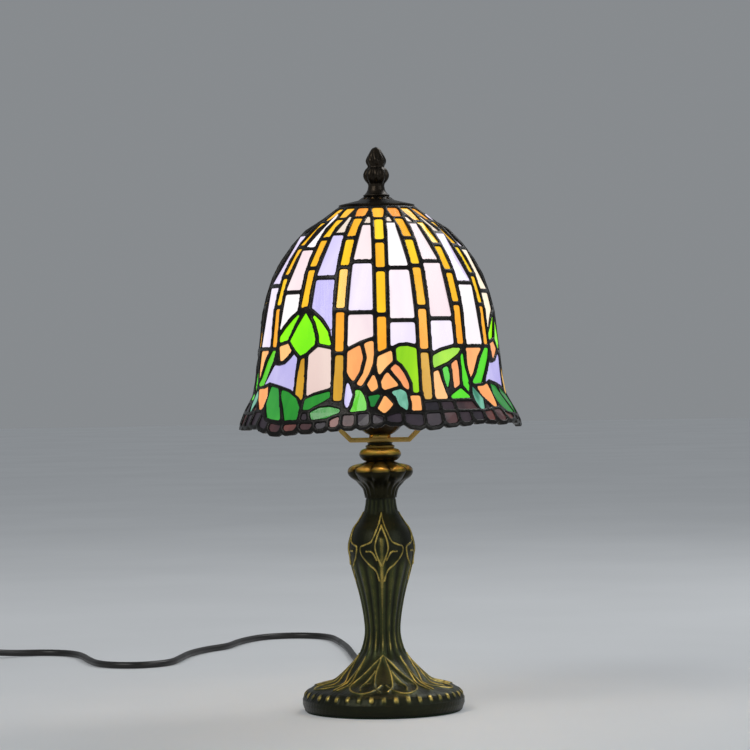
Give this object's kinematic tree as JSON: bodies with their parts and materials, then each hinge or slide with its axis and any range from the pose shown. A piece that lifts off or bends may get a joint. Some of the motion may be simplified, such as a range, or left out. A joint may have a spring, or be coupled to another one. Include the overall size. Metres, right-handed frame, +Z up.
{
  "type": "stained glass table lamp",
  "caption": "Table lamp with a flared shade of leaded coloured glass on a harp, a cast bronze column with a crown collar, a screw-in bulb, a finial and a mains lead.",
  "frame": {"origin": "centre of the felt's underside, on the lamp's vertical axis", "axes": "+Z up along the column, -Y towards the viewer, the lead leaves at +Y"},
  "size_m": [0.6093, 0.6589, 0.3953],
  "materials": {
    "felt": "matte wool felt",
    "bronze": "dark green-brown patina with rubbed gold high spots",
    "gold": "antique gold",
    "steel": "zinc-plated",
    "rubber": "matte",
    "cord_jacket": "satin",
    "brass": "satin",
    "holder_brown": "near-black bronze",
    "ceramic": "glazed",
    "bulb_frost": "frosted and lit",
    "clear_glass": "clear",
    "filament": "glowing",
    "nickel": "nickel-plated",
    "contact_black": "black glass insulator with a soldered tip",
    "black_plastic": "moulded",
    "rocker_plastic": "moulded",
    "solder": "black patina on soldered copper foil",
    "dark_bronze": "near-black bronze",
    "glass_opal": "streaky opalescent sheet",
    "glass_amber": "streaky opalescent sheet",
    "glass_orange": "streaky opalescent sheet",
    "glass_lavender": "streaky opalescent sheet",
    "glass_lime": "streaky opalescent sheet",
    "glass_leaf": "streaky opalescent sheet",
    "glass_green": "streaky opalescent sheet",
    "glass_deep_green": "streaky opalescent sheet",
    "glass_peach": "streaky opalescent sheet",
    "glass_teal": "streaky opalescent sheet",
    "glass_plum": "streaky opalescent sheet"
  },
  "bodies": {
    "base": {"felt_pad": "felt", "column": "bronze", "crown": "gold", "neck_knob": "gold", "neck_spacer": "gold", "threaded_pipe": "steel", "foot_washer": "steel", "foot_nut": "steel", "grommet": "rubber", "strain_relief": "rubber", "lead_inside": "cord_jacket", "harp": "gold", "harp_stud": "brass", "holder_washer": "brass", "holder_nut": "steel", "holder_cup": "holder_brown", "holder_shell": "holder_brown", "holder_ceramic": "ceramic", "holder_screw_shell": "brass", "holder_contact": "brass", "terminal_screws": "brass", "cord_lead": "cord_jacket", "cord_tail": "cord_jacket", "cord_coil": "cord_jacket", "cord_plug_tail": "cord_jacket", "switch_lower_shell": "black_plastic", "switch_upper_shell": "black_plastic", "switch_screws": "steel", "switch_contacts": "brass", "switch_boots": "rubber", "plug_body": "black_plastic", "plug_boot": "rubber", "plug_pins": "brass", "seat_spacer": "brass"},
    "shade": {"shade_lattice": "solder", "shade_ring": "brass", "heat_cap": "dark_bronze", "glass_opal": "glass_opal", "glass_amber": "glass_amber", "glass_orange": "glass_orange", "glass_lavender": "glass_lavender", "glass_lime": "glass_lime", "glass_leaf": "glass_leaf", "glass_green": "glass_green", "glass_deep_green": "glass_deep_green", "glass_peach": "glass_peach", "glass_teal": "glass_teal", "glass_plum": "glass_plum"},
    "finial_carrier": {"finial_insert": "brass"},
    "finial": {"finial": "dark_bronze"},
    "bulb_carrier": {"bulb_contact": "contact_black"},
    "bulb": {"bulb_glass": "bulb_frost", "bulb_cap": "nickel", "bulb_stem": "clear_glass", "bulb_filament": "filament"},
    "rocker": {"switch_rocker": "rocker_plastic"}
  },
  "joints": [
    {"name": "shade_turn", "type": "hinge", "parent": "base", "child": "shade", "pos_m": [0, 0, 0.3565], "axis": [0, 0, 1], "continuous": true},
    {"name": "finial_rise", "type": "slide", "parent": "base", "child": "finial_carrier", "axis": [0, 0, 1], "range_m": [0, 0.0094]},
    {"name": "finial_turn", "type": "hinge", "parent": "finial_carrier", "child": "finial", "pos_m": [0, 0, 0.37], "axis": [0, 0, 1], "range_deg": [0, 3600]},
    {"name": "bulb_rise", "type": "slide", "parent": "base", "child": "bulb_carrier", "axis": [0, 0, 1], "range_m": [0, 0.01088]},
    {"name": "bulb_turn", "type": "hinge", "parent": "bulb_carrier", "child": "bulb", "pos_m": [0, 0, 0.23], "axis": [0, 0, 1], "range_deg": [0, 1080]},
    {"name": "switch_rock", "type": "hinge", "parent": "base", "child": "rocker", "pos_m": [-0.37442, 0.37688, 0.0124], "axis": [0.5807, -0.8141, 0], "range_deg": [-18, 0]}
  ],
  "couplings": [
    {"joint": "finial_turn", "follows": "finial_rise", "rad_per_m": 6679.3},
    {"joint": "bulb_turn", "follows": "bulb_rise", "rad_per_m": 1731.4}
  ]
}
